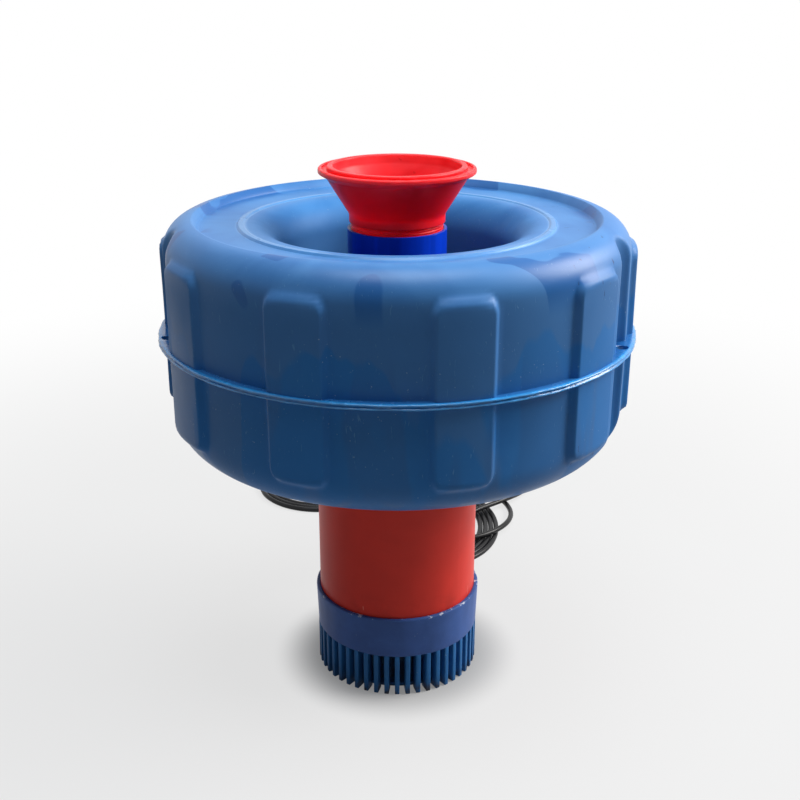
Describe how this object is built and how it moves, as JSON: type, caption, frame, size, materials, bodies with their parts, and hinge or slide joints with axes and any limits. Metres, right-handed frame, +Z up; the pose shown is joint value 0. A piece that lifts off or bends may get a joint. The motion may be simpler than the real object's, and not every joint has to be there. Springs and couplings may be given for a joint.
{
  "type": "floating pond aerator",
  "caption": "Floating pond aerator: ring float round a barrel with a motor pump, intake strainer below, spray trumpet on top, and a coiled supply cable with its connector.",
  "frame": {"origin": "on the pump's axis, in the plane of the strainer's feet that the aerator stands on", "axes": "+Z up along the pump's axis, -Y towards the pictured front, +X to the viewer's right"},
  "size_m": [0.4592, 0.763, 0.5171],
  "materials": {
    "blue_polypropylene": "moulded, fine grain",
    "blue_polyethylene": "rotation-moulded skin, worn smooth on top",
    "red_polypropylene": "moulded, semi-gloss",
    "black_nylon": "glass-filled, moulded",
    "cable_rubber": "smooth jacket",
    "black_rubber": "moulded",
    "stainless_steel": "turned",
    "lamination_steel": "varnished stack",
    "copper_wire": "varnished windings",
    "magnet": "sintered",
    "ceramic": "lapped",
    "carbon": "lapped",
    "pin_brass": "turned"
  },
  "bodies": {
    "pump_and_float": {"strainer_basket": "blue_polypropylene", "strainer_screws": "stainless_steel", "barrel": "red_polypropylene", "suction_plate": "black_nylon", "diffuser": "black_nylon", "diffuser_screws": "stainless_steel", "seal_seat": "ceramic", "lower_bearing_outer": "stainless_steel", "upper_bearing_outer": "stainless_steel", "upper_bearing_spring": "stainless_steel", "stator_core": "lamination_steel", "stator_windings": "copper_wire", "motor_can": "stainless_steel", "motor_cap": "black_nylon", "motor_tie_rods": "stainless_steel", "motor_o_rings": "black_rubber", "motor_lead": "cable_rubber", "lead_seal": "black_rubber", "pump_head": "red_polypropylene", "pump_head_o_ring": "black_rubber", "discharge_pipe": "blue_polypropylene", "float_upper_shell": "blue_polyethylene", "float_lower_shell": "blue_polyethylene", "flange_gasket": "black_rubber", "flange_backing_ring": "stainless_steel", "flange_bolts": "stainless_steel", "flange_washers": "stainless_steel", "flange_nuts": "stainless_steel", "gland_body": "black_nylon", "gland_washer": "black_rubber", "gland_locknut": "black_nylon", "gland_seal": "black_rubber", "gland_nut": "black_nylon", "cable_boot": "black_rubber", "cable_drop": "cable_rubber", "cable_link": "cable_rubber", "cable_tail": "cable_rubber", "cable_coil_left": "cable_rubber", "cable_coil_right": "cable_rubber", "connector_body": "black_nylon", "connector_ring": "black_nylon", "connector_pins": "pin_brass"},
    "rotor": {"shaft": "stainless_steel", "rotor_core": "lamination_steel", "rotor_magnets": "magnet", "impeller": "black_nylon", "impeller_key": "stainless_steel", "impeller_washer": "stainless_steel", "impeller_nut": "stainless_steel", "seal_bellows": "black_rubber", "seal_ring": "carbon", "lower_bearing_inner": "stainless_steel", "upper_bearing_inner": "stainless_steel"},
    "lower_cage": {"lower_bearing_cage": "black_nylon", "lower_bearing_balls": "stainless_steel"},
    "upper_cage": {"upper_bearing_cage": "black_nylon", "upper_bearing_balls": "stainless_steel"},
    "trumpet": {"spray_trumpet": "red_polypropylene"}
  },
  "joints": [
    {"name": "shaft_spin", "type": "hinge", "parent": "pump_and_float", "child": "rotor", "pos_m": [0, 0, 0], "axis": [0, 0, 1], "continuous": true},
    {"name": "lower_cage_spin", "type": "hinge", "parent": "pump_and_float", "child": "lower_cage", "pos_m": [0, 0, 0], "axis": [0, 0, 1], "continuous": true},
    {"name": "upper_cage_spin", "type": "hinge", "parent": "pump_and_float", "child": "upper_cage", "pos_m": [0, 0, 0], "axis": [0, 0, 1], "continuous": true},
    {"name": "trumpet_lift", "type": "slide", "parent": "pump_and_float", "child": "trumpet", "axis": [0, 0, 1], "range_m": [0, 0.03]}
  ],
  "couplings": [
    {"joint": "lower_cage_spin", "follows": "shaft_spin", "ratio": 0.38},
    {"joint": "upper_cage_spin", "follows": "shaft_spin", "ratio": 0.38}
  ]
}
